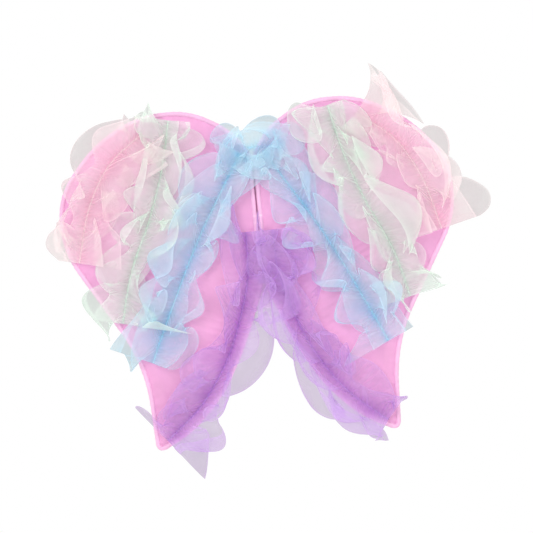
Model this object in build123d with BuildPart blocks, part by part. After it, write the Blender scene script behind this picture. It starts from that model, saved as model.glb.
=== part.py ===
from build123d import *

import os
from math import cos, radians, sin, tan

# Child's fabric fairy wings: two wired fabric wings with four rows of gathered tulle each, hinged like
# a book on a small back pad that carries two elastic shoulder loops. Millimetres. +Z is up, the
# decorated side faces -Y and the wearer's back lies on the pad's face at Y = 0, so a depth below is
# measured from that face towards -Y. X = 0 is the plane between the two wings.

# Wing outline: reach, rise and drop of one wing, and its bent steel wire
WING_REACH = 204.0
WING_RISE = 118.5
WING_DROP = 231.0
HINGE_X = 3.0
TIP_RADIUS = 6.0
NOTCH_RADIUS = 12.0
HEEL_RADIUS = 60.0
ARC_SHARE = 0.48
WIRE_RADIUS = 1.2
WIRE_BUTT_GAP = 0.4
FERRULE_RADIUS = 1.8
FERRULE_LENGTH = 12.0
CASING_INNER_RADIUS = 2.0
CASING_WALL = 0.5
PANEL_THICKNESS = 0.6
PANEL_GAP = 0.1
PANEL_EDGE_GAP = 0.02

# Tulle rows: how far one row may reach from its seam, how thick it stands, and its stitching
PINK_REACH = 34.0
MINT_REACH = 28.0
BLUE_REACH = 25.0
PURPLE_REACH = 44.0
END_FLARE = 14.0
RUFFLE_DEPTH = 22.0
RUFFLE_GAP = 3.0
RUFFLE_INNER_X = 8.0
LOBE_SHARE = 0.62
LOBE_PITCH = 1.2
GROOVE_WIDTH = 5.0
WEB_THICKNESS = 1.0
CASING_CHANNEL_CLEARANCE = 0.1
THREAD_WIDTH = 1.2
THREAD_HEIGHT = 0.7

# Back pad and the tape loops that hold each wing's wire
PAD_WIDTH = 48.0
PAD_HEIGHT = 124.0
PAD_CORNER = 10.0
COVER_WALL = 0.8
FOAM_THICKNESS = 7.5
BOARD_THICKNESS = 2.0
FILL_CLEARANCE = 0.1
BINDING_WALL = 0.8
BINDING_DEPTH = 6.0
RUN_OVER_PAD = 6.0
LOOP_HEIGHT = 12.0
LOOP_WALL = 1.0
LOOP_INSET = 16.0
LOOP_RUNNING_CLEARANCE = 0.08
WINDOW_CLEARANCE = 0.6
WINDOW_CASING_MARGIN = 0.3
SLOT_CLEARANCE = 0.15
TURN_CLEARANCE = 0.3

# Elastic shoulder loops and the care label
STRAP_WIDTH = 10.0
STRAP_THICKNESS = 1.2
STRAP_X = 14.0
STRAP_REACH = 88.0
STRAP_SPLAY = 30.0
STRAP_EXIT = 9.0
STRAP_CROWN = 21.0
STRAP_FOOT = 28.0
STRAP_WAIST = 70.0
LABEL_WIDTH = 13.0
LABEL_LENGTH = 30.0
LABEL_THICKNESS = 0.4

# How far a wing folds away from the wearer, in degrees
FOLD_ANGLE = 60.0
FOLD_MARGIN = 3.0

CASING_RADIUS = CASING_INNER_RADIUS + CASING_WALL
BOARD_FRONT = COVER_WALL + FOAM_THICKNESS + BOARD_THICKNESS
PAD_DEPTH = BOARD_FRONT + COVER_WALL
WIRE_DEPTH = PAD_DEPTH + TURN_CLEARANCE + CASING_RADIUS
PANEL_FRONT = WIRE_DEPTH + PANEL_GAP / 2 + PANEL_THICKNESS
LOOP_BORE = WIRE_RADIUS + LOOP_RUNNING_CLEARANCE
LOOP_RADIUS = LOOP_BORE + LOOP_WALL
LOOP_LEVEL = PAD_HEIGHT / 2 - LOOP_INSET
LOOP_LEVELS = (-LOOP_LEVEL, 0, LOOP_LEVEL)
RUN_END = PAD_HEIGHT / 2 + RUN_OVER_PAD
WINDOW_HEIGHT = LOOP_HEIGHT + 2 * WINDOW_CLEARANCE


def wing_point(across, up):
    """A point of the right wing, as shares of its reach and of its rise, or of its drop if negative."""
    height = WING_RISE if up > 0 else WING_DROP
    return (HINGE_X + across * (WING_REACH - HINGE_X), up * height)


# The wing's outline clockwise from the top of its straight inner run, then the four seams from the
# outermost row of tulle to the innermost. The seams stay on the wing whatever its size.
TIP = 8
OUTLINE = [
    (HINGE_X, RUN_END),
    wing_point(0.09, 0.80),
    wing_point(0.29, 1.0),
    wing_point(0.54, 1.0),
    wing_point(0.79, 0.785),
    wing_point(1.0, 0.362),
    wing_point(1.0, -0.06),
    wing_point(0.631, -0.606),
    wing_point(0.611, -1.0),
    wing_point(0.429, -0.92),
    wing_point(0.253, -0.766),
    wing_point(0.122, -0.56),
    (HINGE_X, -RUN_END),
]
SEAMS = {
    "pink": [
        wing_point(0.545, 0.85),
        wing_point(0.73, 0.625),
        wing_point(0.86, 0.25),
        wing_point(0.93, -0.12),
    ],
    "mint": [
        wing_point(0.40, 0.945),
        wing_point(0.455, 0.51),
        wing_point(0.555, 0.04),
        wing_point(0.67, -0.175),
        wing_point(0.735, -0.41),
    ],
    "blue": [
        wing_point(0.045, 0.60),
        wing_point(0.21, 0.15),
        wing_point(0.34, -0.12),
        wing_point(0.48, -0.37),
        wing_point(0.60, -0.60),
    ],
    "purple": [
        wing_point(0.055, -0.05),
        wing_point(0.06, -0.27),
        wing_point(0.185, -0.585),
        wing_point(0.355, -0.81),
        wing_point(0.56, -0.955),
    ],
}
REACHES = {"pink": PINK_REACH, "mint": MINT_REACH, "blue": BLUE_REACH, "purple": PURPLE_REACH}
ROWS = list(SEAMS)


def arc_radius(before, corner, after):
    """The radius whose arc takes ARC_SHARE of the shorter of the two runs that meet at a corner."""
    run_in = Vector(*corner) - Vector(*before)
    run_out = Vector(*after) - Vector(*corner)
    turn = radians(run_in.get_angle(run_out))
    return ARC_SHARE * min(run_in.length, run_out.length) / tan(turn / 2)


def open_radii(points):
    """One radius for each inner point of an open route."""
    return [arc_radius(*points[i - 1 : i + 2]) for i in range(1, len(points) - 1)]


def outline_radii():
    """One radius for each corner of the wing's outline, its own at the notch, the tip and the heel."""
    ring = [OUTLINE[-1]] + OUTLINE + [OUTLINE[0]]
    radii = open_radii(ring)
    radii[0] = NOTCH_RADIUS
    radii[-1] = HEEL_RADIUS
    radii[TIP] = TIP_RADIUS
    return radii


def save(piece, label):
    """Name a finished piece and write it."""
    piece.part.label = label
    export_step(piece.part, f"parts/{label}.step")


def save_pair(piece, name):
    """Write a right-hand piece and its mirror image in the plane between the wings."""
    with BuildPart() as twin:
        mirror(piece.part, about=Plane.YZ)
    save(piece, f"right_{name}")
    save(twin, f"left_{name}")


def round_route(level, gap):
    """The way round the wing from just above a gap in the straight inner run to just below it."""
    start = (HINGE_X, level + gap / 2)
    end = (HINGE_X, level - gap / 2)
    return FilletPolyline(start, *OUTLINE, end, radius=outline_radii(), mode=Mode.PRIVATE)


def seam_line(row):
    """The gathering seam of one row of tulle, in the wing's plane."""
    points = SEAMS[row]
    return FilletPolyline(*points, radius=open_radii(points), mode=Mode.PRIVATE)


def wing_windows():
    """Cut the casing and panels back round the tape loops, in the piece being made.

    A window clears the tape and goes right through the casing, whichever of them is wider.
    """
    half_width = max(LOOP_RADIUS + WINDOW_CLEARANCE, CASING_RADIUS + WINDOW_CASING_MARGIN)
    for level in LOOP_LEVELS:
        with Locations((HINGE_X, -WIRE_DEPTH, level)):
            Box(2 * half_width, 2 * half_width, WINDOW_HEIGHT, mode=Mode.SUBTRACT)


def make_wire():
    """The steel wire, bent round the wing's outline, with its two ends butted in a crimped ferrule."""
    ferrule_level = -LOOP_LEVEL / 2
    plane = Plane.XZ.offset(WIRE_DEPTH)
    route = plane.from_local_coords(round_route(ferrule_level, WIRE_BUTT_GAP))
    with BuildPart() as wire:
        with BuildSketch(Plane(route @ 0, z_dir=route % 0)):
            Circle(WIRE_RADIUS)
        sweep(path=route)
    save_pair(wire, "wing_wire")

    with BuildPart() as ferrule:
        with BuildSketch(Plane.XY.offset(ferrule_level - FERRULE_LENGTH / 2)):
            with Locations((HINGE_X, -WIRE_DEPTH)):
                Circle(FERRULE_RADIUS)
                Circle(WIRE_RADIUS, mode=Mode.SUBTRACT)
        extrude(amount=FERRULE_LENGTH)
    save_pair(ferrule, "wire_ferrule")


def make_casing():
    """The fabric channel that holds the wire loosely, open where the tape loops pass."""
    plane = Plane.XZ.offset(WIRE_DEPTH)
    route = plane.from_local_coords(round_route(0, WINDOW_HEIGHT))
    with BuildPart() as casing:
        with BuildSketch(Plane(route @ 0, z_dir=route % 0)):
            Circle(CASING_RADIUS)
            Circle(CASING_INNER_RADIUS, mode=Mode.SUBTRACT)
        sweep(path=route)
        wing_windows()
    save_pair(casing, "wing_casing")


def make_panel(name, depth):
    """One layer of fabric that fills the wing up to the casing it is sewn to."""
    with BuildPart() as panel:
        with BuildSketch(Plane.XZ.offset(depth)):
            with BuildLine():
                FilletPolyline(*OUTLINE, radius=outline_radii(), close=True)
            make_face()
            offset(amount=-(CASING_RADIUS + PANEL_EDGE_GAP))
        extrude(amount=PANEL_THICKNESS)
        wing_windows()
    save_pair(panel, name)


def fold_wedge():
    """The space in front of a wing that its tulle leaves free, so that the folded wings don't meet."""
    climb = tan(radians(90 - FOLD_ANGLE - FOLD_MARGIN))
    far_x = HINGE_X + 2 * RUFFLE_DEPTH / climb
    far_y = -WIRE_DEPTH - 2 * RUFFLE_DEPTH
    inner_y = -WIRE_DEPTH - (RUFFLE_INNER_X - HINGE_X) * climb
    with BuildPart() as wedge:
        with BuildSketch(Plane.XY.offset(-2 * WING_DROP)):
            with BuildLine():
                Polyline((RUFFLE_INNER_X, inner_y), (far_x, far_y), (RUFFLE_INNER_X, far_y), close=True)
            make_face()
            with BuildLine():
                Polyline(
                    (-PAD_WIDTH, 0),
                    (RUFFLE_INNER_X, 0),
                    (RUFFLE_INNER_X, far_y),
                    (-PAD_WIDTH, far_y),
                    close=True,
                )
            make_face()
        extrude(amount=4 * WING_DROP)
    return wedge.part


def flared_line(row):
    """A row's seam carried on past both its ends, as the loose ends of its strip are."""
    points = [Vector(*point) for point in SEAMS[row]]
    start = points[0] + (points[0] - points[1]).normalized() * END_FLARE
    end = points[-1] + (points[-1] - points[-2]).normalized() * END_FLARE
    route = [start, *points[1:-1], end]
    radii = open_radii([(point.X, point.Y) for point in route])
    return FilletPolyline(*route, radius=radii, mode=Mode.PRIVATE)


def neighbours(row):
    """The rows beside a row: outwards, which is to the left of its seam, and inwards."""
    place = ROWS.index(row)
    outer = ROWS[place - 1] if place > 0 else None
    inner = ROWS[place + 1] if place + 1 < len(ROWS) else None
    return {1: outer, -1: inner}


def lobe_centres(row, flares):
    """Centre and radius of each scallop: a string of them along both edges of a row.

    A row reaches half way to the row beside it at most, less half of the gap between them.
    """
    flare = flares[row]
    count = round(flare.length / (LOBE_PITCH * LOBE_SHARE * REACHES[row]))
    lobes = []
    for side, beside in neighbours(row).items():
        for i in range(count):
            share = (i + 0.5) / count
            point = flare @ share
            outward = (flare % share).rotate(Axis.Z, 90 * side)
            rooms = [(flares[other].distance_to(point) - RUFFLE_GAP) / 2 for other in [beside] if other]
            reach = min([REACHES[row], *rooms])
            radius = LOBE_SHARE * reach
            lobes.append((point + outward * (reach - radius), radius))
    return lobes


def make_ruffles():
    """The four rows of gathered tulle, each with its gathering thread in the groove along its seam."""
    flares = {row: flared_line(row) for row in ROWS}
    free_space = fold_wedge()
    edge = FilletPolyline(*OUTLINE, radius=outline_radii(), close=True, mode=Mode.PRIVATE)
    channel = CASING_RADIUS + CASING_CHANNEL_CLEARANCE
    for row in ROWS:
        seam = seam_line(row)
        with BuildPart() as ruffle:
            with BuildSketch(Plane.XZ.offset(PANEL_FRONT)):
                trace(flares[row], line_width=2 * GROOVE_WIDTH)
                for centre, radius in lobe_centres(row, flares):
                    with Locations(centre):
                        Circle(radius)
            extrude(amount=RUFFLE_DEPTH)
            with BuildSketch(Plane.XZ.offset(PANEL_FRONT + WEB_THICKNESS)):
                trace(seam, line_width=GROOVE_WIDTH)
            extrude(amount=RUFFLE_DEPTH, mode=Mode.SUBTRACT)
            with BuildSketch(Plane.XZ.offset(WIRE_DEPTH)):
                trace(edge, line_width=2 * channel)
            extrude(amount=channel, mode=Mode.SUBTRACT)
            add(free_space, mode=Mode.SUBTRACT)
        save_pair(ruffle, f"{row}_ruffle")

        with BuildPart() as thread:
            with BuildSketch(Plane.XZ.offset(PANEL_FRONT + WEB_THICKNESS)):
                trace(seam, line_width=THREAD_WIDTH)
            extrude(amount=THREAD_HEIGHT)
        save_pair(thread, f"{row}_thread")


def pad_outline(inset):
    """The pad's rounded rectangle, drawn this far inside its cover's outer face."""
    RectangleRounded(PAD_WIDTH - 2 * inset, PAD_HEIGHT - 2 * inset, PAD_CORNER - inset)


def make_pad():
    """The pad: a fabric tray towards the wearer, foam, a stiff board, a front cover and a binding."""
    with BuildPart() as tray:
        with BuildSketch(Plane.XZ):
            pad_outline(0)
        extrude(amount=BOARD_FRONT)
        with BuildSketch(Plane.XZ.offset(COVER_WALL)):
            pad_outline(COVER_WALL)
        extrude(amount=BOARD_FRONT, mode=Mode.SUBTRACT)
    save(tray, "pad_back_cover")

    with BuildPart() as foam:
        with BuildSketch(Plane.XZ.offset(COVER_WALL)):
            pad_outline(COVER_WALL + FILL_CLEARANCE)
        extrude(amount=FOAM_THICKNESS)
    save(foam, "pad_foam")

    with BuildPart() as board:
        with BuildSketch(Plane.XZ.offset(COVER_WALL + FOAM_THICKNESS)):
            pad_outline(COVER_WALL + FILL_CLEARANCE)
        extrude(amount=BOARD_THICKNESS)
    save(board, "pad_board")

    with BuildPart() as front:
        with BuildSketch(Plane.XZ.offset(BOARD_FRONT)):
            pad_outline(0)
            with Locations(*[(side * HINGE_X, level) for side in (-1, 1) for level in LOOP_LEVELS]):
                Rectangle(
                    2 * (LOOP_RADIUS + SLOT_CLEARANCE),
                    LOOP_HEIGHT + 2 * SLOT_CLEARANCE,
                    mode=Mode.SUBTRACT,
                )
        extrude(amount=COVER_WALL)
    save(front, "pad_front_cover")

    with BuildPart() as binding:
        with BuildSketch(Plane.XZ.offset(PAD_DEPTH - BINDING_DEPTH)):
            pad_outline(-BINDING_WALL)
            RectangleRounded(PAD_WIDTH, PAD_HEIGHT, PAD_CORNER, mode=Mode.SUBTRACT)
        extrude(amount=BINDING_DEPTH)
    save(binding, "pad_binding")


def make_hinge_loops():
    """Three folded tapes to a wing, each round the wire and back through the cover to the board."""
    leg = WIRE_DEPTH - BOARD_FRONT
    leg_centre = (HINGE_X, -WIRE_DEPTH + leg / 2)
    with BuildPart() as loops:
        for level in LOOP_LEVELS:
            with BuildSketch(Plane.XY.offset(level - LOOP_HEIGHT / 2)):
                with Locations((HINGE_X, -WIRE_DEPTH)):
                    Circle(LOOP_RADIUS)
                with Locations(leg_centre):
                    Rectangle(2 * LOOP_RADIUS, leg)
                with Locations((HINGE_X, -WIRE_DEPTH)):
                    Circle(LOOP_BORE, mode=Mode.SUBTRACT)
                with Locations(leg_centre):
                    Rectangle(2 * LOOP_BORE, leg, mode=Mode.SUBTRACT)
            extrude(amount=LOOP_HEIGHT)
    save_pair(loops, "hinge_loops")


def make_label():
    """A blank care label that hangs from the binding at the foot of the pad."""
    top = PAD_HEIGHT / 2 + BINDING_WALL
    with BuildPart() as label:
        with BuildSketch(Plane.XZ.offset(PAD_DEPTH - BINDING_DEPTH / 2)):
            with Locations((0, -top - LABEL_LENGTH / 2)):
                Rectangle(LABEL_WIDTH, LABEL_LENGTH)
        extrude(amount=LABEL_THICKNESS)
    save(label, "care_label")


def make_straps():
    """One flat elastic loop to a shoulder, from the pad's top edge back to its bottom edge."""
    end = PAD_HEIGHT / 2 + BINDING_WALL + TURN_CLEARANCE
    route = [
        (0, end),
        (0, end + STRAP_EXIT),
        (0.10 * STRAP_REACH, end + STRAP_CROWN),
        (0.52 * STRAP_REACH, end + 0.95 * STRAP_CROWN),
        (0.90 * STRAP_REACH, end - 0.81 * STRAP_CROWN),
        (STRAP_REACH, end - STRAP_WAIST),
        (0.84 * STRAP_REACH, -end),
        (0.42 * STRAP_REACH, -end - STRAP_FOOT),
        (0.10 * STRAP_REACH, -end - 0.86 * STRAP_FOOT),
        (0, -end - STRAP_EXIT),
        (0, -end),
    ]
    centre_line = FilletPolyline(*route, radius=open_radii(route), mode=Mode.PRIVATE)
    splay = radians(STRAP_SPLAY)
    anchor_y = -(PAD_DEPTH - BINDING_DEPTH / 2) + TURN_CLEARANCE + STRAP_WIDTH / 4
    plane = Plane(
        origin=(STRAP_X, anchor_y, 0),
        x_dir=(sin(splay), cos(splay), 0),
        z_dir=(cos(splay), -sin(splay), 0),
    )
    with BuildPart() as strap:
        with BuildSketch(plane):
            trace(centre_line, line_width=STRAP_THICKNESS)
        extrude(amount=STRAP_WIDTH / 2, both=True)
    save_pair(strap, "shoulder_strap")


os.makedirs("parts", exist_ok=True)
make_wire()
make_casing()
make_panel("back_panel", WIRE_DEPTH - PANEL_GAP / 2 - PANEL_THICKNESS)
make_panel("front_panel", WIRE_DEPTH + PANEL_GAP / 2)
make_ruffles()
make_pad()
make_hinge_loops()
make_label()
make_straps()
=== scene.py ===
import bpy
import numpy as np
from math import cos, pi, radians, sin, tan
from mathutils import Matrix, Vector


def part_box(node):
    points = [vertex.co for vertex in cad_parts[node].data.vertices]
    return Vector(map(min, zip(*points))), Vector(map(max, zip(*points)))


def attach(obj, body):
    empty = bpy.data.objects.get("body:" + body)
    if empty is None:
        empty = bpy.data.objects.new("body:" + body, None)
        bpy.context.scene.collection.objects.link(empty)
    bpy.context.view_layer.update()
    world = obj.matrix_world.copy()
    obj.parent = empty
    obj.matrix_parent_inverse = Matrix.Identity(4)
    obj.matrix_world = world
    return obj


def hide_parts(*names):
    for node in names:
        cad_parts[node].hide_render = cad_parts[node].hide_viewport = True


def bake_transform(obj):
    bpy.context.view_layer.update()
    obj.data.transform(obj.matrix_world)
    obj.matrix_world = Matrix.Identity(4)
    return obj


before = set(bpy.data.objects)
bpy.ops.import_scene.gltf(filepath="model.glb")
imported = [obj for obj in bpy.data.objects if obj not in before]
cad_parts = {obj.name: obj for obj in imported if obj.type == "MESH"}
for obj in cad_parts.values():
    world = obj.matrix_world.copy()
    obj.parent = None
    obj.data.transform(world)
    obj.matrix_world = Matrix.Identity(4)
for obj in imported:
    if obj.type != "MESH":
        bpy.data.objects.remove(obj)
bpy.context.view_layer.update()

# Child's fabric fairy wings in metres, in the model's frame: +Z up, the decorated side towards -Y and
# the wearer towards +Y. A wing is worked out on the right-hand side and mirrored for the left, with
# its own random folds. Depths are measured from the wearer's face of the pad towards -Y.

ROWS = ("pink", "mint", "blue", "purple")
SIDES = {"right": 1, "left": -1}

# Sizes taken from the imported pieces
casing_low, casing_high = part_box("right_wing_casing")
wire_low, wire_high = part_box("right_wing_wire")
pad_low, pad_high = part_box("pad_back_cover")
front_low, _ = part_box("right_front_panel")
WIRE_RADIUS = (wire_high[1] - wire_low[1]) / 2
CASING_RADIUS = (casing_high[1] - casing_low[1]) / 2
HINGE_X = wire_low[0] + WIRE_RADIUS
REACH = wire_high[0] - WIRE_RADIUS
RISE = wire_high[2] - WIRE_RADIUS
DROP = 0.231
WIRE_Y = (wire_low[1] + wire_high[1]) / 2
PANEL_FRONT_Y = front_low[1]
PAD_HALF = pad_high[2]
RUN_END = PAD_HALF + 0.006
STRAP_Y = -0.0053
ARC_SHARE = 0.48
NOTCH, TIP, HEEL = 0, 8, 12
NOTCH_RADIUS = 0.012
TIP_RADIUS = 0.006
HEEL_RADIUS = 0.060


def wing_point(across, up):
    """A point of the right wing, as shares of its reach and of its rise, or of its drop if negative."""
    return (HINGE_X + across * (REACH - HINGE_X), up * (RISE if up > 0 else DROP))


# The wing's corners as shares of its reach and of its rise, or of its drop where negative
OUTLINE = np.array([
    (HINGE_X, RUN_END),
    wing_point(0.09, 0.80),
    wing_point(0.29, 1.0),
    wing_point(0.54, 1.0),
    wing_point(0.79, 0.785),
    wing_point(1.0, 0.362),
    wing_point(1.0, -0.06),
    wing_point(0.631, -0.606),
    wing_point(0.611, -1.0),
    wing_point(0.429, -0.92),
    wing_point(0.253, -0.766),
    wing_point(0.122, -0.56),
    (HINGE_X, -RUN_END),
])
SEAMS = {
    "pink": [(0.545, 0.85), (0.73, 0.625), (0.86, 0.25), (0.93, -0.12)],
    "mint": [(0.40, 0.945), (0.455, 0.51), (0.555, 0.04), (0.67, -0.175), (0.735, -0.41)],
    "blue": [(0.045, 0.60), (0.21, 0.15), (0.34, -0.12), (0.48, -0.37), (0.60, -0.60)],
    "purple": [(0.055, -0.05), (0.06, -0.27), (0.185, -0.585), (0.355, -0.81), (0.56, -0.955)],
}

# ---------------------------------------------------------------- curves and meshes


def resample(points, count):
    """Points evenly spaced by distance along a polyline."""
    steps = np.linalg.norm(np.diff(points, axis=0), axis=1)
    distance = np.concatenate([[0], np.cumsum(steps)])
    wanted = np.linspace(0, distance[-1], count)
    return np.stack([np.interp(wanted, distance, points[:, i]) for i in range(points.shape[1])], axis=1)


def rounded(corners, tangents):
    """A corner polyline with each inner corner replaced by a curve that leaves the runs at its tangent
    length: P = (1-t)^2 A + 2t(1-t) C + t^2 B, where C is the corner and A and B lie on the runs beside it."""
    t = np.linspace(0, 1, 17)[:, None]
    pieces = [corners[:1]]
    for i in range(1, len(corners) - 1):
        before, corner, after = corners[i - 1], corners[i], corners[i + 1]
        a = corner + (before - corner) / np.linalg.norm(before - corner) * tangents[i]
        b = corner + (after - corner) / np.linalg.norm(after - corner) * tangents[i]
        pieces.append((1 - t) ** 2 * a + 2 * t * (1 - t) * corner + t**2 * b)
    pieces.append(corners[-1:])
    return np.concatenate(pieces)


def tangent_lengths(corners):
    """Each corner's curve takes the same share of the shorter run beside it."""
    runs = np.linalg.norm(np.diff(corners, axis=0), axis=1)
    return np.concatenate([[0], ARC_SHARE * np.minimum(runs[:-1], runs[1:]), [0]])


def wing_outline(count):
    """The closed outline of the right wing, clockwise from half way down its straight inner run."""
    start = np.array([[HINGE_X, 0.0]])
    corners = np.concatenate([start, OUTLINE, start])
    tangents = tangent_lengths(corners)
    for place, radius in ((NOTCH, NOTCH_RADIUS), (TIP, TIP_RADIUS), (HEEL, HEEL_RADIUS)):
        run_in, run_out = corners[place + 1] - corners[place], corners[place + 2] - corners[place + 1]
        turn = np.arccos(run_in @ run_out / np.linalg.norm(run_in) / np.linalg.norm(run_out))
        tangents[place + 1] = radius * tan(turn / 2)
    return resample(rounded(corners, tangents), count)


def seam_curve(row, count):
    """The gathering seam of one row, from its upper end down."""
    corners = np.array([wing_point(*share) for share in SEAMS[row]])
    return resample(rounded(corners, tangent_lengths(corners)), count)


def left_normals(points):
    """Unit vectors square to a curve, to the left of the way it runs."""
    way = np.gradient(points, axis=0)
    way /= np.linalg.norm(way, axis=1)[:, None]
    return np.stack([-way[:, 1], way[:, 0]], axis=1)


def grid_faces(rows, columns, around=False):
    """Quads between neighbouring rows and columns of points, and round to the first column if closed."""
    r = np.arange(rows - 1)[:, None]
    c = np.arange(columns if around else columns - 1)[None, :]
    nxt = (c + 1) % columns
    quads = np.stack([r * columns + c, r * columns + nxt, (r + 1) * columns + nxt, (r + 1) * columns + c],
                     axis=-1)
    return quads.reshape(-1, 4)


def add_mesh(name, points, faces, material, uv=None, smooth=True):
    """A new object whose mesh has these points and faces, and one UV pair for each point."""
    mesh = bpy.data.meshes.new(name)
    mesh.from_pydata(points.reshape(-1, 3).tolist(), [], faces.tolist())
    if uv is not None:
        layer = mesh.uv_layers.new(name="UVMap")
        corner = np.empty(len(mesh.loops), dtype=np.int32)
        mesh.loops.foreach_get("vertex_index", corner)
        layer.data.foreach_set("uv", uv.reshape(-1, 2)[corner].astype(np.float32).ravel())
    mesh.polygons.foreach_set("use_smooth", np.full(len(mesh.polygons), smooth))
    mesh.update()
    thing = bpy.data.objects.new(name, mesh)
    bpy.context.scene.collection.objects.link(thing)
    thing.data.materials.append(material)
    return thing


def wander(q, knots, rng):
    """Smooth random values between -1 and 1 over q from 0 to 1: cosine steps between even random knots."""
    values = rng.uniform(-1, 1, knots + 2)
    place = np.clip(q, 0, 1) * knots
    i = np.minimum(place.astype(int), knots)
    f = (1 - np.cos(pi * (place - i))) / 2
    return values[i] * (1 - f) + values[i + 1] * f


# ---------------------------------------------------------------- materials


def new_material(name):
    """An empty node material with its output node."""
    material = bpy.data.materials.new(name)
    material.use_nodes = True
    tree = material.node_tree
    tree.nodes.clear()
    return material, tree, tree.nodes.new("ShaderNodeOutputMaterial")


def node(tree, kind, values=None, **settings):
    """A node with its settings and the values of its inputs."""
    made = tree.nodes.new(kind)
    for key, value in settings.items():
        setattr(made, key, value)
    for key, value in (values or {}).items():
        made.inputs[key].default_value = value
    return made


def ramp(tree, factor, stops):
    """A colour ramp through these (place, colour) stops."""
    made = tree.nodes.new("ShaderNodeValToRGB")
    bar = made.color_ramp
    while len(bar.elements) < len(stops):
        bar.elements.new(0.5)
    for element, (place, colour) in zip(bar.elements, stops):
        element.position = place
        element.color = (*colour, 1)
    tree.links.new(factor, made.inputs["Fac"])
    return made.outputs["Color"]


def shade(colour, gain):
    """A colour made lighter or darker, kept between 0 and 1."""
    return tuple(min(max(c * gain, 0), 1) for c in colour)


def linear(r, g, b):
    """A display colour from 0 to 255 as linear light."""
    return tuple((c / 255 / 12.92) if c <= 10 else ((c / 255 + 0.055) / 1.055) ** 2.4 for c in (r, g, b))


def panel_material(name, colour):
    """Soft ribbed satin: fine upright ribs and a crossing weave as bump, mottled colour and a light sheen.
    The ribs also darken the colour along their low grooves: painted shade in the grooves.
    """
    material, tree, out = new_material(name)
    link = tree.links.new
    where = node(tree, "ShaderNodeTexCoord")
    ribs = node(tree, "ShaderNodeTexWave",
                {"Scale": 330.0, "Distortion": 1.2, "Detail": 1.0, "Detail Scale": 1.5},
                wave_type="BANDS", bands_direction="X")
    weft = node(tree, "ShaderNodeTexWave", {"Scale": 620.0, "Distortion": 0.6}, wave_type="BANDS",
                bands_direction="Z")
    mottle = node(tree, "ShaderNodeTexNoise", {"Scale": 26.0, "Detail": 4.0})
    for texture in (ribs, weft, mottle):
        link(where.outputs["Object"], texture.inputs["Vector"])
    shaded = ramp(tree, mottle.outputs["Fac"], [(0.30, shade(colour, 0.90)), (0.70, shade(colour, 1.06))])
    # Painted shade: the ribs darken the colour where their bump is low, along the grooves.
    mix = node(tree, "ShaderNodeMixRGB", {"Fac": 0.14}, blend_type="MULTIPLY")
    link(shaded, mix.inputs["Color1"])
    link(ribs.outputs["Color"], mix.inputs["Color2"])
    height = node(tree, "ShaderNodeMath", operation="MULTIPLY_ADD")
    height.inputs[1].default_value = 0.35
    link(weft.outputs["Fac"], height.inputs[0])
    link(ribs.outputs["Fac"], height.inputs[2])
    bump = node(tree, "ShaderNodeBump", {"Strength": 0.60, "Distance": 0.0004})
    link(height.outputs["Value"], bump.inputs["Height"])
    rough = node(tree, "ShaderNodeMapRange", {"To Min": 0.48, "To Max": 0.62})
    link(mottle.outputs["Fac"], rough.inputs["Value"])
    cloth = node(tree, "ShaderNodeBsdfPrincipled", {"Sheen Weight": 0.25, "Sheen Roughness": 0.4,
                                                    "Specular IOR Level": 0.35})
    link(mix.outputs["Color"], cloth.inputs["Base Color"])
    link(rough.outputs["Result"], cloth.inputs["Roughness"])
    link(bump.outputs["Normal"], cloth.inputs["Normal"])
    link(cloth.outputs["BSDF"], out.inputs["Surface"])
    return material


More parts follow.
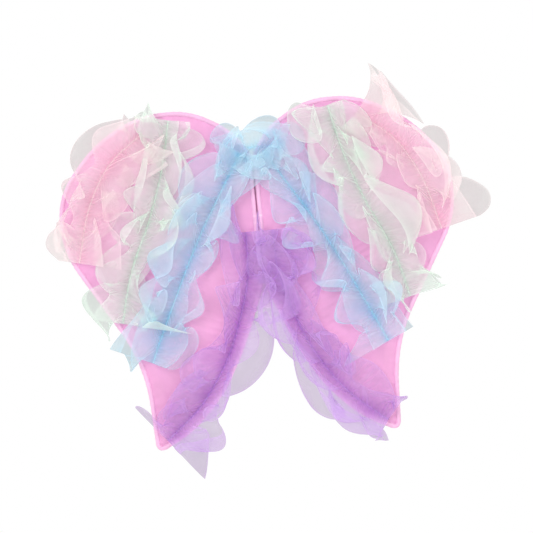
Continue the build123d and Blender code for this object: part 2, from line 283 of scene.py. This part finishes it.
def tulle_material(name, light, deep, cover):
    """Sheer net. One layer laid flat hides `cover` of what is behind it; the cloth's own "thickness" value
    says how many layers' worth of thread lie there, more on a fold or a pleat that stands on edge, and the
    share hidden is 1 - (1 - cover) ^ thickness. The colour is deeper and darker towards the seam, by a value
    the cloth carries: part the colour of net bunched there in many layers, part painted shade in the crease
    where the net is pinched to the seam."""
    material, tree, out = new_material(name)
    link = tree.links.new
    cloth = node(tree, "ShaderNodeUVMap", uv_map="UVMap")
    where = node(tree, "ShaderNodeTexCoord")
    patches = node(tree, "ShaderNodeTexNoise", {"Scale": 30.0, "Detail": 3.0})
    link(where.outputs["Object"], patches.inputs["Vector"])
    nets = []
    for turn in (0.9, -0.9):
        turned = node(tree, "ShaderNodeMapping", {"Rotation": (0, 0, turn)})
        threads = node(tree, "ShaderNodeTexWave", {"Scale": 1.0, "Distortion": 0.3}, wave_type="BANDS",
                       bands_direction="X")
        link(cloth.outputs["UV"], turned.inputs["Vector"])
        link(turned.outputs["Vector"], threads.inputs["Vector"])
        nets.append(threads.outputs["Fac"])
    net = node(tree, "ShaderNodeMath", operation="MAXIMUM")
    link(nets[0], net.inputs[0])
    link(nets[1], net.inputs[1])
    fine = node(tree, "ShaderNodeMapRange", {"To Min": 0.80, "To Max": 1.16})
    link(net.outputs["Value"], fine.inputs["Value"])
    thickness = node(tree, "ShaderNodeAttribute", attribute_name="thickness")
    layers = node(tree, "ShaderNodeMath", operation="MULTIPLY")
    link(fine.outputs["Result"], layers.inputs[0])
    link(thickness.outputs["Fac"], layers.inputs[1])
    passed = node(tree, "ShaderNodeMath", {0: 1 - cover}, operation="POWER")
    link(layers.outputs["Value"], passed.inputs[1])
    hidden = node(tree, "ShaderNodeMath", {0: 1.0}, operation="SUBTRACT", use_clamp=True)
    link(passed.outputs["Value"], hidden.inputs[1])
    # Deeper, darker colour towards the seam: part the colour of net bunched there in many layers, part
    # painted shade in the crease where the net is pinched to the seam.
    seam_tint_and_shade = node(tree, "ShaderNodeAttribute", attribute_name="seam_tint_and_shade")
    uneven = node(tree, "ShaderNodeMapRange",
                  {"From Min": 0.35, "From Max": 0.68, "To Min": -0.25, "To Max": 0.40})
    link(patches.outputs["Fac"], uneven.inputs["Value"])
    # The seam deepening with its painted shade, plus random patches of uneven tone.
    tint_and_seam_shade = node(tree, "ShaderNodeMath", operation="ADD", use_clamp=True)
    link(seam_tint_and_shade.outputs["Fac"], tint_and_seam_shade.inputs[0])
    link(uneven.outputs["Result"], tint_and_seam_shade.inputs[1])
    tint = ramp(tree, tint_and_seam_shade.outputs["Value"], [(0.0, light), (1.0, deep)])
    front = node(tree, "ShaderNodeBsdfDiffuse", {"Roughness": 0.4})
    through = node(tree, "ShaderNodeBsdfTranslucent")
    gloss = node(tree, "ShaderNodeBsdfGlossy", {"Roughness": 0.40})
    clear = node(tree, "ShaderNodeBsdfTransparent")
    link(tint, front.inputs["Color"])
    link(tint, through.inputs["Color"])
    scatter = node(tree, "ShaderNodeMixShader", {"Fac": 0.42})
    shine = node(tree, "ShaderNodeMixShader", {"Fac": 0.07})
    sheer = node(tree, "ShaderNodeMixShader")
    link(front.outputs["BSDF"], scatter.inputs[1])
    link(through.outputs["BSDF"], scatter.inputs[2])
    link(scatter.outputs["Shader"], shine.inputs[1])
    link(gloss.outputs["BSDF"], shine.inputs[2])
    link(hidden.outputs["Value"], sheer.inputs["Fac"])
    link(clear.outputs["BSDF"], sheer.inputs[1])
    link(shine.outputs["Shader"], sheer.inputs[2])
    link(sheer.outputs["Shader"], out.inputs["Surface"])
    return material


def woven_material(name, colour, pitch, rough=0.6):
    """Plain woven tape, thread or cover: crossed threads as bump over a slightly mottled colour."""
    material, tree, out = new_material(name)
    link = tree.links.new
    where = node(tree, "ShaderNodeTexCoord")
    mottle = node(tree, "ShaderNodeTexNoise", {"Scale": 90.0, "Detail": 3.0})
    link(where.outputs["Object"], mottle.inputs["Vector"])
    sums = None
    for way in ("X", "Z", "Y"):
        threads = node(tree, "ShaderNodeTexWave", {"Scale": 0.32 / pitch, "Distortion": 0.5},
                       wave_type="BANDS", bands_direction=way)
        link(where.outputs["Object"], threads.inputs["Vector"])
        if sums is None:
            sums = threads.outputs["Fac"]
            continue
        both = node(tree, "ShaderNodeMath", operation="ADD")
        link(sums, both.inputs[0])
        link(threads.outputs["Fac"], both.inputs[1])
        sums = both.outputs["Value"]
    bump = node(tree, "ShaderNodeBump", {"Strength": 0.4, "Distance": 0.0003})
    link(sums, bump.inputs["Height"])
    cloth = node(tree, "ShaderNodeBsdfPrincipled", {"Roughness": rough, "Sheen Weight": 0.2,
                                                    "Specular IOR Level": 0.3})
    link(ramp(tree, mottle.outputs["Fac"], [(0.3, shade(colour, 0.92)), (0.7, shade(colour, 1.05))]),
         cloth.inputs["Base Color"])
    link(bump.outputs["Normal"], cloth.inputs["Normal"])
    link(cloth.outputs["BSDF"], out.inputs["Surface"])
    return material


def metal_material(name, colour, rough):
    """Drawn or pressed metal with faint scratches in its roughness."""
    material, tree, out = new_material(name)
    link = tree.links.new
    where = node(tree, "ShaderNodeTexCoord")
    scratches = node(tree, "ShaderNodeTexNoise", {"Scale": 900.0, "Detail": 3.0})
    link(where.outputs["Object"], scratches.inputs["Vector"])
    spread = node(tree, "ShaderNodeMapRange", {"To Min": rough - 0.08, "To Max": rough + 0.12})
    link(scratches.outputs["Fac"], spread.inputs["Value"])
    metal = node(tree, "ShaderNodeBsdfPrincipled", {"Metallic": 1.0, "Base Color": (*colour, 1)})
    link(spread.outputs["Result"], metal.inputs["Roughness"])
    link(metal.outputs["BSDF"], out.inputs["Surface"])
    return material


PINK_PANEL = linear(246, 176, 222)
# The net of each row: its colour where loose, its deeper colour towards the seam (part bunched layers, part
# painted shade in the crease there), and one layer's cover
TULLE = {
    "pink": (linear(255, 246, 245), linear(255, 222, 232), 0.26),
    "mint": (linear(244, 255, 246), linear(222, 248, 231), 0.29),
    "blue": (linear(222, 246, 254), linear(160, 230, 250), 0.27),
    "purple": (linear(226, 192, 244), linear(196, 134, 224), 0.26),
}
panel_cloth = panel_material("pink_panel_satin", PINK_PANEL)
binding_cloth = woven_material("pale_pink_binding", linear(246, 190, 226), 0.0007)
pad_cloth = woven_material("pad_fabric", linear(246, 180, 224), 0.0009)
tape_cloth = woven_material("loop_tape", linear(248, 210, 234), 0.0008)
elastic_cloth = woven_material("braided_elastic", linear(246, 205, 230), 0.0011)
label_cloth = woven_material("label_satin", linear(246, 245, 240), 0.0005, 0.45)
board_fill = woven_material("pad_board", linear(226, 224, 216), 0.0030, 0.7)
spring_steel = metal_material("spring_steel", (0.62, 0.63, 0.65), 0.30)
crimp_metal = metal_material("crimp_metal", (0.72, 0.73, 0.75), 0.38)
nets = {row: tulle_material(f"{row}_net", *TULLE[row]) for row in ROWS}
threads = {row: woven_material(f"{row}_thread_twist", shade(TULLE[row][0], 0.88), 0.0006) for row in ROWS}

# ---------------------------------------------------------------- wing panels and casing


def sided(points, side):
    """Points of the right wing, mirrored for the left."""
    return points * np.array([side, 1, 1])


def span_edges(outline, levels):
    """Where each level of height meets the outline: its inner and outer x."""
    top, tip = outline[:, 1].argmax(), outline[:, 1].argmin()
    outer = outline[top : tip + 1]
    inner = np.concatenate([outline[tip:], outline[: top + 1]])
    return np.interp(levels, inner[:, 1], inner[:, 0]), np.interp(levels, outer[::-1, 1], outer[::-1, 0])


def nearest_on(curve, flat_points):
    """For each point, its distance from a curve and how far along the curve its nearest point is."""
    steps = np.linalg.norm(np.diff(curve, axis=0), axis=1)
    distance_along = np.concatenate([[0], np.cumsum(steps)])
    best = np.empty(len(flat_points))
    place = np.empty(len(flat_points), dtype=int)
    for chunk in np.array_split(np.arange(len(flat_points)), 24):
        apart = np.linalg.norm(flat_points[chunk, None, :] - curve[None, :, :], axis=2)
        place[chunk] = apart.argmin(axis=1)
        best[chunk] = apart[np.arange(len(chunk)), place[chunk]]
    return best, distance_along[place]


def make_panel(side_name, layer, seed):
    """One fabric layer: x runs across between the wing's edges and z up it, and y is the layer's own plane
    plus broad soft waves and, on the front, puckers square to each gathering seam that fade away from it."""
    rng = np.random.default_rng(seed)
    outline = wing_outline(900)
    inset = CASING_RADIUS * 0.6
    toward = 1 if layer == "front" else -1
    rows, columns = 250, 180
    up = (1 - np.cos(np.linspace(0, pi, rows))) / 2
    low, high = outline[:, 1].min() + inset, outline[:, 1].max() - inset
    levels = low + (high - low) * (0.35 * up + 0.65 * np.linspace(0, 1, rows))
    inner, outer = span_edges(outline, levels)
    pinch = np.minimum(inset, (outer - inner) / 2)
    across = np.linspace(0, 1, columns)
    x = (inner + pinch)[:, None] + ((outer - inner) - 2 * pinch)[:, None] * across
    z = np.broadcast_to(levels[:, None], x.shape)
    flat = np.stack([x.ravel(), z.ravel()], axis=1)
    edge, along_edge = nearest_on(outline, flat)
    inside = np.clip(edge / 0.014, 0, 1)
    relief = np.zeros(len(flat))
    pucker_pitch, pucker_height, pucker_reach = 0.0085, 0.0015, 0.017
    for row in ROWS:
        distance, along = nearest_on(seam_curve(row, 260), flat)
        beat = np.sin(2 * pi * along / pucker_pitch + 2.2 * np.sin(along / 0.023) + rng.uniform(0, 6))
        relief += pucker_height * beat * np.exp(-distance / pucker_reach) * np.clip(distance / 0.003, 0.15, 1)
    hem = np.sin(2 * pi * along_edge / 0.011 + 1.7 * np.sin(along_edge / 0.031)) * np.exp(-edge / 0.009)
    swell = np.sin(flat[:, 0] / 0.021 + 1.3) * np.sin(flat[:, 1] / 0.034 + 0.4) * 0.5 + 0.5
    drape = np.sin(flat[:, 0] / 0.0031 + 2.0 * np.sin(flat[:, 1] / 0.037 + rng.uniform(0, 6)))
    swell = swell + 0.22 * drape * (0.5 + 0.5 * np.sin(flat[:, 0] / 0.017 + flat[:, 1] / 0.029))
    depth = 0.0004 * hem + inside * (relief * (1 if layer == "front" else 0.5) + 0.0009 * swell)
    plane = WIRE_Y - toward * (0.0004 + 0.0008 * inside)
    points = np.stack([flat[:, 0], plane - toward * depth, flat[:, 1]], axis=1)
    side = SIDES[side_name]
    faces = grid_faces(rows, columns)
    if side * toward < 0:
        faces = faces[:, ::-1]
    piece = add_mesh(f"{side_name}_{layer}_cloth", sided(points, side), faces, panel_cloth,
                     np.stack([flat[:, 0], flat[:, 1]], axis=1))
    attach(piece, f"{side_name}_wing")
    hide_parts(f"{side_name}_{layer}_panel")
    return piece


def make_casing(side_name, seed):
    """The edge channel: a soft tube carried round the outline, r = R (1 + pleats) where the pleats are
    short waves along it."""
    rng = np.random.default_rng(seed)
    count, around = 1100, 14
    route = wing_outline(count)
    normal = left_normals(route)
    length = np.linalg.norm(np.diff(route, axis=0), axis=1).sum()
    s = np.linspace(0, length, count)
    pleat = 0.045 * np.sin(2 * pi * s / 0.0062 + 2 * np.sin(s / 0.019)) + 0.05 * wander(s / length, 160, rng)
    angle = np.linspace(0, 2 * pi, around, endpoint=False)
    radius = CASING_RADIUS * 0.97 * (1 + pleat)[:, None] * np.ones(around)
    out = radius * np.cos(angle)
    x = route[:, :1] + normal[:, :1] * out
    z = route[:, 1:] + normal[:, 1:] * out
    y = WIRE_Y + radius * np.sin(angle)
    points = np.stack([x, y, z], axis=-1)
    faces = grid_faces(count, around, around=True)
    side = SIDES[side_name]
    if side > 0:
        faces = faces[:, ::-1]
    uv = np.stack(np.broadcast_arrays(s[:, None], angle * CASING_RADIUS), axis=-1)
    piece = add_mesh(f"{side_name}_edge_casing", sided(points.reshape(-1, 3), side), faces, binding_cloth, uv)
    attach(piece, f"{side_name}_wing")
    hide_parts(f"{side_name}_wing_casing")
    return piece


# ---------------------------------------------------------------- gathered tulle

# Each row's reach from its seam, outwards and inwards, how far apart its loops are along the seam, how high
# they stand, and how much longer the loops grow towards the upper and the lower end of the row
NET = {
    "pink": dict(reach=(0.041, 0.033), pitch=0.050, stand=0.016, flare=(0.44, 0.10), layers=2),
    "mint": dict(reach=(0.034, 0.036), pitch=0.046, stand=0.017, flare=(0.20, 0.50), layers=2),
    "blue": dict(reach=(0.034, 0.033), pitch=0.044, stand=0.017, flare=(0.10, 0.45), layers=2),
    "purple": dict(reach=(0.031, 0.037), pitch=0.048, stand=0.015, flare=(0.10, 0.65), layers=2),
}
TUFT = dict(reach=(0.026, 0.034), pitch=0.034, stand=0.014, flare=(0.10, 0.10), layers=1)
# A strip's length over its seam's: an estimate, set low to suit the loops as modelled
GATHER = 1.6
LAYER_TRIM = 0.20
STATIONS = 760
SWAY = 0.42
END_SHARE = 0.05
MESH_PITCH = 0.0016
FAN_PITCH, FAN_HEIGHT = 0.0135, 0.0018
CREASE_PITCH, CREASE_HEIGHT = 0.0052, 0.0007
FIRST_LIFT, LAYER_LIFT = 0.0012, 0.0016


def thickness_of(points):
    """Layers' worth of thread at each point of a grid: 1 where the cloth faces forward and up to 3 where it
    stands on edge, 1 / |n.y| from the cross product of the grid's two directions."""
    along = np.gradient(points, axis=0)
    across = np.gradient(points, axis=1)
    normal = np.cross(along, across)
    normal /= np.linalg.norm(normal, axis=-1, keepdims=True) + 1e-12
    return np.clip(1 / np.maximum(np.abs(normal[..., 1]), 1e-3), 1, 3.0)


def net_half(seam, outward, reach, pitch, stand, flare, lift, sway, rng):
    """Half of a gathered strip, from its seam to its free edge. The seam pinches the strip once a loop, where
    a phase that gains one turn a loop, at an uneven speed, passes zero. The free edge swings along the seam
    by d sin(phase) and stands out by R (0.70 - 0.30 cos(phase) + 0.08 sin(2 phase + 1)), times the sway that
    makes the strip wander to one side of its seam and the other. It lies up or down the seam as its lie says,
    but the cut ends stay square to the seam. Across the strip, with w from 0 to 1, out goes as sin(b w): past
    a quarter turn the cloth folds back over itself. Height goes as sin(pi w) between the pinches, plus a tilt
    that rises where the cloth folds over, and folds fan from each pinch, growing with w."""
    wide = 23
    q = np.linspace(0, 1, len(sway))
    length = np.linalg.norm(np.diff(seam, axis=0), axis=1).sum()
    loops = max(round(length / pitch), 1)
    speed = np.cumsum(np.exp(0.75 * wander(q, loops, rng)))
    phase = 2 * pi * loops * speed / speed[-1] + rng.uniform(0, 2 * pi)
    swing = pitch * (0.34 + 0.34 * wander(q, loops, rng))
    lie = pitch * 0.62 * wander(q, loops, rng)
    ends = 1 + flare[0] * np.exp(-q / 0.22) + flare[1] * np.exp((q - 1) / 0.12)
    size = reach * (0.90 + 0.22 * wander(q, 2 * loops, rng)) * (1 + sway) * ends
    free_out = size * (0.70 - 0.30 * np.cos(phase) + 0.08 * np.sin(2 * phase + 1.0))
    pinch = 0.30 + 0.70 * np.abs(np.sin(phase / 2))
    raised = 0.7 + 2.2 * wander(q, loops, rng)
    fold = np.maximum(wander(q, 2 * loops, rng), -0.5)
    bend = (1.55 + 1.30 * fold)[:, None]
    tilt = stand * (0.36 + 0.26 * np.sin(phase + raised) + 0.42 * np.maximum(fold, 0))
    crown = stand * pinch * (0.50 + 0.34 * wander(q, 2 * loops, rng))
    w = np.linspace(0, 1, wide)[None, :]
    out = free_out[:, None] * np.sin(bend * w) / np.sin(np.minimum(bend, pi / 2))
    settled = np.clip(np.minimum(q, 1 - q) / END_SHARE, 0, 1)
    shift = (settled * (lie - swing * np.sin(phase)))[:, None] / length
    place = q[:, None] + shift * w**1.1
    up = crown[:, None] * np.sin(pi * w) + tilt[:, None] * w**1.3
    fan = np.sin(2 * pi * q * length / FAN_PITCH + 3.0 * wander(q, 3 * loops, rng) + 1.1 * np.sin(phase))
    crease = np.sin(2 * pi * q * length / CREASE_PITCH + 2.5 * wander(q, 3 * loops, rng))
    up = np.maximum(up, 0) + FAN_HEIGHT * (fan[:, None] + 1) * w**0.8
    up += CREASE_HEIGHT * (crease[:, None] + 1) * np.exp(-w / 0.35) * np.minimum(w / 0.05, 1)
    lean = radians(34) * (settled * wander(q, loops, rng))[:, None] * w
    grid = np.linspace(0, 1, len(seam))
    normal = left_normals(seam) * outward
    way = np.gradient(seam, axis=0)
    way /= np.linalg.norm(way, axis=1)[:, None]
    inside = np.clip(place, 0, 1)
    pick = [np.interp(inside, grid, values) for values in (*seam.T, *normal.T, *way.T)]
    past = (place - inside) * length
    across, forward = out * np.cos(lean), out * np.sin(lean) + past
    x = pick[0] + across * pick[2] + forward * pick[4]
    z = pick[1] + across * pick[3] + forward * pick[5]
    points = np.stack([x, PANEL_FRONT_Y - lift - up, z], axis=-1)
    hem = 1 + 1.0 * np.exp(-(1 - w) / 0.035)
    # Colour deepening towards the seam: part the colour of bunched layers, part painted shade in the crease
    # where the net is pinched.
    seam_tint_and_shade = 0.60 * np.exp(-w / 0.20) * np.ones_like(out)
    thick = thickness_of(points) * hem * (1 + 0.45 * np.exp(-w / 0.10))
    along_cloth = q[:, None] * GATHER * length / MESH_PITCH
    uv = np.stack(np.broadcast_arrays(along_cloth, w * reach / MESH_PITCH), axis=-1)
    return points, uv, thick, seam_tint_and_shade


def add_values(piece, name, values):
    """One number for each point of a mesh, for its material to read."""
    layer = piece.data.attributes.new(name, "FLOAT", "POINT")
    layer.data.foreach_set("value", values.astype(np.float32).ravel())


def make_net(name, side_name, row, seam, facts, rng):
    """Layers of gathered strip laid on one another and sewn down along the same seam."""
    halves, faces, start = [], [], 0
    layers = facts["layers"]
    length = np.linalg.norm(np.diff(seam, axis=0), axis=1).sum()
    for layer in range(layers):
        lift = FIRST_LIFT + LAYER_LIFT * layer
        sway = SWAY * wander(np.linspace(0, 1, STATIONS), max(round(length / facts["pitch"]), 1), rng)
        for outward, reach in zip((1, -1), facts["reach"]):
            half = net_half(seam, outward, reach * (1 - LAYER_TRIM * layer), facts["pitch"], facts["stand"],
                            facts["flare"], lift, outward * sway, rng)
            quads = grid_faces(half[0].shape[0], half[0].shape[1]) + start
            faces.append(quads if outward > 0 else quads[:, ::-1])
            halves.append(half)
            start += half[0].shape[0] * half[0].shape[1]
    points, uv, thick, seam_tint_and_shade = (
        np.concatenate([half[i].reshape(half[0].shape[0] * half[0].shape[1], -1) for half in halves])
        for i in range(4)
    )
    side = SIDES[side_name]
    faces = np.concatenate(faces)
    if side < 0:
        faces = faces[:, ::-1]
    piece = add_mesh(name, sided(points, side), faces, nets[row], uv)
    add_values(piece, "thickness", thick)
    add_values(piece, "seam_tint_and_shade", seam_tint_and_shade)
    return piece


def make_row(side_name, row, seed):
    """One of a wing's four rows of tulle."""
    piece = make_net(f"{side_name}_{row}_tulle", side_name, row, seam_curve(row, 240), NET[row],
                     np.random.default_rng(seed))
    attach(piece, f"{side_name}_wing")
    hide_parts(f"{side_name}_{row}_ruffle")


def make_tuft(side_name, seed):
    """The blue row's loose end, over the notch between the wings. It cuts into the other wing when one folds
    to its limit."""
    corners = np.array([(-0.016, 0.066), (0.006, 0.080), (0.034, 0.070)])
    seam = resample(rounded(corners, tangent_lengths(corners)), 60)
    piece = make_net(f"{side_name}_blue_tuft", side_name, "blue", seam, TUFT, np.random.default_rng(seed))
    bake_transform(piece)


# ---------------------------------------------------------------- pad, shoulder loops and label


def pad_ring(count):
    """The pad's outline as a rounded rectangle, from its half sizes and its corner radius."""
    corner = 0.010
    half_x, half_z = pad_high[0] - corner, pad_high[2] - corner
    arcs = []
    for step in range(4):
        angle = np.linspace(0, pi / 2, 17) + step * pi / 2
        middle = angle[8]
        arcs.append(np.stack([np.sign(cos(middle)) * half_x + corner * np.cos(angle),
                              np.sign(sin(middle)) * half_z + corner * np.sin(angle)], axis=1))
    ring = np.concatenate(arcs)
    return resample(np.concatenate([ring, ring[:1]]), count + 1)[:count]


def make_cushion():
    """The padded back: rings of the outline drawn in towards the middle. The wearer's face is crowned, falls
    away to the edge as t^6 and dips along a stitched line; the side bulges above the binding and puckers
    where it is sewn, and the front is flat against the board."""
    rng = np.random.default_rng(5)
    around = 260
    ring = pad_ring(around)
    depth = -pad_low[1]
    crown = 0.0026
    step = np.linspace(0, 1, around)
    pucker = np.sin(2 * pi * np.arange(around) * 46 / around + 2 * wander(step, 30, rng))
    t_face = np.linspace(0.02, 0.985, 30)
    dip = 0.0011 * np.exp(-(((t_face - 0.80) / 0.022) ** 2))
    face = [(t, -crown * t**6 - d, 0.00025 * t**4) for t, d in zip(t_face, dip)]
    side = [(1.0 + 0.010 * sin(pi * v), -crown - (depth - crown) * v, 0.0005 * (1 - v)) for v in
            np.linspace(0.08, 1.0, 9)]
    front = [(t, -depth, 0.0) for t in np.linspace(0.97, 0.02, 10)]
    rings = []
    for t, y, wave in face + side + front:
        layer = ring * (t + wave * pucker[:, None] * 4)
        rings.append(np.stack([layer[:, 0], np.full(around, y) + wave * pucker, layer[:, 1]], axis=1))
    points = np.concatenate(rings)
    faces = grid_faces(len(rings), around, around=True)
    caps = np.array([points[:around].mean(axis=0), points[-around:].mean(axis=0)])
    last = len(points)
    i = np.arange(around)
    nxt = (i + 1) % around
    base = (len(rings) - 1) * around
    fans = np.concatenate([np.stack([np.full(around, last), nxt, i], axis=1),
                           np.stack([np.full(around, last + 1), base + i, base + nxt], axis=1)])
    mesh_faces = [list(map(int, face)) for face in faces[:, ::-1]]
    mesh_faces += [list(map(int, fan[::-1])) for fan in fans]
    mesh = bpy.data.meshes.new("pad_cushion")
    mesh.from_pydata(np.concatenate([points, caps]).tolist(), [], mesh_faces)
    mesh.update()
    piece = bpy.data.objects.new("pad_cushion", mesh)
    bpy.context.scene.collection.objects.link(piece)
    mesh.polygons.foreach_set("use_smooth", np.ones(len(mesh.polygons), dtype=bool))
    mesh.materials.append(pad_cloth)
    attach(piece, "back_pad")
    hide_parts("pad_back_cover", "pad_foam")


def make_strap(side_name, seed):
    """A flat braided elastic loop: a narrow rounded section carried round the loop. It is ribbed across its
    width by 0.16 cos(12 pi f / width), where f is the distance from its middle line, and sways sideways a
    little between its two sewn ends."""
    rng = np.random.default_rng(seed)
    binding_wall, turn_clearance = 0.0008, 0.0003
    end = pad_high[2] + binding_wall + turn_clearance
    reach, crown, foot, waist = 0.088, 0.021, 0.028, 0.070
    corners = np.array([
        (0, end), (0, end + 0.009), (0.10 * reach, end + crown), (0.52 * reach, end + 0.95 * crown),
        (0.90 * reach, end - 0.81 * crown), (reach, end - waist), (0.84 * reach, -end),
        (0.42 * reach, -end - foot), (0.10 * reach, -end - 0.86 * foot), (0, -end - 0.009), (0, -end),
    ])
    line = resample(rounded(corners, tangent_lengths(corners)), 420)
    normal = left_normals(line)
    length = np.linalg.norm(np.diff(line, axis=0), axis=1).sum()
    q = np.linspace(0, 1, len(line))
    width, thickness, around = 0.010, 0.0011, 40
    turn = np.linspace(0, 2 * pi, around, endpoint=False)
    flat = np.sign(np.cos(turn)) * np.abs(np.cos(turn)) ** 0.55 * width / 2
    rib = 1 + 0.16 * np.cos(12 * pi * flat / width)
    thick = np.sign(np.sin(turn)) * np.abs(np.sin(turn)) ** 0.5 * thickness / 2 * rib
    sway = 0.0016 * wander(q, 5, rng) * np.sin(pi * q)
    weave = 0.00006 * np.sin(2 * pi * q * length / 0.0016)
    offset = thick[None, :] + weave[:, None] * np.sign(np.sin(turn))
    u = line[:, :1] + normal[:, :1] * offset
    z = line[:, 1:] + normal[:, 1:] * offset
    v = flat[None, :] + sway[:, None]
    splay = radians(30)
    anchor_x, anchor_y = 0.014, STRAP_Y
    x = anchor_x + u * sin(splay) + v * cos(splay)
    y = anchor_y + u * cos(splay) - v * sin(splay)
    points = np.stack([x, y, z], axis=-1).reshape(-1, 3)
    side = SIDES[side_name]
    faces = grid_faces(len(line), around, around=True)
    ends = [list(range(around)), list(range((len(line) - 1) * around, len(line) * around))[::-1]]
    if side < 0:
        faces, ends = faces[:, ::-1], [cap[::-1] for cap in ends]
    mesh = bpy.data.meshes.new(f"{side_name}_elastic_loop")
    mesh.from_pydata(sided(points, side).tolist(), [], faces.tolist() + ends)
    mesh.polygons.foreach_set("use_smooth", np.ones(len(mesh.polygons), dtype=bool))
    mesh.update()
    piece = bpy.data.objects.new(f"{side_name}_elastic_loop", mesh)
    bpy.context.scene.collection.objects.link(piece)
    mesh.materials.append(elastic_cloth)
    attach(piece, f"{side_name}_strap")
    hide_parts(f"{side_name}_shoulder_strap")


def make_label():
    """A blank satin care label: a narrow strip that hangs from the binding and curls forward as z^2."""
    low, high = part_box("care_label")
    rows, columns = 60, 24
    fall = np.linspace(0, 1, rows)[:, None]
    across = np.linspace(-1, 1, columns)[None, :]
    half = (high[0] - low[0]) / 2
    x, z = np.broadcast_arrays(half * across, high[2] + (low[2] - high[2]) * fall)
    y = (low[1] + high[1]) / 2 + 0.0022 * fall**2 * (0.6 + 0.4 * across) + 0.0006 * np.sin(5 * fall) * across
    points = np.stack([x, y, z], axis=-1)
    piece = add_mesh("care_label_strip", points, grid_faces(rows, columns), label_cloth,
                     np.stack([x, z], axis=-1))
    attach(piece, "back_pad")
    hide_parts("care_label")


# ---------------------------------------------------------------- build

for side_name in SIDES:
    for number, layer in enumerate(("front", "back")):
        make_panel(side_name, layer, 11 + number)
    make_casing(side_name, 21 + SIDES[side_name])
    for number, row in enumerate(ROWS):
        make_row(side_name, row, 40 + 7 * number + SIDES[side_name])
    make_tuft(side_name, 90 + SIDES[side_name])
    make_strap(side_name, 70 + SIDES[side_name])
make_cushion()
make_label()

finishes = {
    "wing_wire": spring_steel,
    "wire_ferrule": crimp_metal,
    "hinge_loops": tape_cloth,
    **{f"{row}_thread": threads[row] for row in ROWS},
}
for side_name in SIDES:
    for name, material in finishes.items():
        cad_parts[f"{side_name}_{name}"].material_slots[0].material = material
for name, material in {
    "pad_front_cover": pad_cloth,
    "pad_binding": binding_cloth,
    "pad_board": board_fill,
}.items():
    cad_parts[name].material_slots[0].material = material

# ---------------------------------------------------------------- floor, light and camera


def make_floor():
    """A pale round floor well below the wings."""
    radius, level, count = 1.15, -0.50, 96
    angle = np.linspace(0, 2 * pi, count, endpoint=False)
    rim = np.stack([radius * np.cos(angle), radius * np.sin(angle), np.full(count, level)], axis=1)
    faces = np.arange(count)[None, :]
    material, tree, out = new_material("pale_floor")
    paper = node(tree, "ShaderNodeBsdfPrincipled", {"Base Color": (0.86, 0.86, 0.86, 1), "Roughness": 0.9})
    tree.links.new(paper.outputs["BSDF"], out.inputs["Surface"])
    add_mesh("floor", rim, faces, material, smooth=False)


def make_light(name, place, turn, size, power):
    """A soft square lamp."""
    data = bpy.data.lights.new(name, "AREA")
    data.size = size
    data.energy = power
    lamp = bpy.data.objects.new(name, data)
    lamp.location = place
    lamp.rotation_euler = turn
    bpy.context.scene.collection.objects.link(lamp)


def make_world():
    """White all round. The white seen through net is darkened so that the net shows against it. That is a
    trick of this render, not how light would act, and the exported model doesn't have it."""
    world = bpy.data.worlds.new("white_room")
    bpy.context.scene.world = world
    world.use_nodes = True
    tree = world.node_tree
    tree.nodes.clear()
    out = tree.nodes.new("ShaderNodeOutputWorld")
    paths = tree.nodes.new("ShaderNodeLightPath")
    fill = node(tree, "ShaderNodeBackground", {"Color": (1, 1, 1, 1), "Strength": 0.84})
    seen = node(tree, "ShaderNodeBackground", {"Color": (1, 1, 1, 1)})
    veiled = node(tree, "ShaderNodeMapRange", {"To Min": 1.0, "To Max": 0.60})
    mix = tree.nodes.new("ShaderNodeMixShader")
    tree.links.new(paths.outputs["Transparent Depth"], veiled.inputs["Value"])
    tree.links.new(veiled.outputs["Result"], seen.inputs["Strength"])
    tree.links.new(paths.outputs["Is Camera Ray"], mix.inputs["Fac"])
    tree.links.new(fill.outputs["Background"], mix.inputs[1])
    tree.links.new(seen.outputs["Background"], mix.inputs[2])
    tree.links.new(mix.outputs["Shader"], out.inputs["Surface"])


def make_camera():
    """Square on to the decorated side from far off, turned so that the right wing stands a little higher."""
    distance = 2.4
    view_width = 0.560
    data = bpy.data.cameras.new("camera")
    data.sensor_width = 36
    data.lens = data.sensor_width * distance / view_width
    camera = bpy.data.objects.new("camera", data)
    camera.matrix_world = (
        Matrix.Translation((0.0042, -distance, -0.0495))
        @ Matrix.Rotation(radians(90), 4, "X")
        @ Matrix.Rotation(radians(-5.5), 4, "Z")
    )
    bpy.context.scene.collection.objects.link(camera)
    bpy.context.scene.camera = camera


make_floor()
make_light("key", (-0.9, -1.7, 0.9), (radians(64), 0, radians(-28)), 0.9, 17)
make_light("fill", (1.3, -1.4, -0.3), (radians(97), 0, radians(43)), 1.2, 8)
make_light("back", (0.2, 1.6, 1.0), (radians(-58), 0, radians(-7)), 1.2, 12)
make_world()
make_camera()
bpy.context.scene.view_settings.view_transform = "Standard"
bpy.context.scene.cycles.transparent_max_bounces = 48
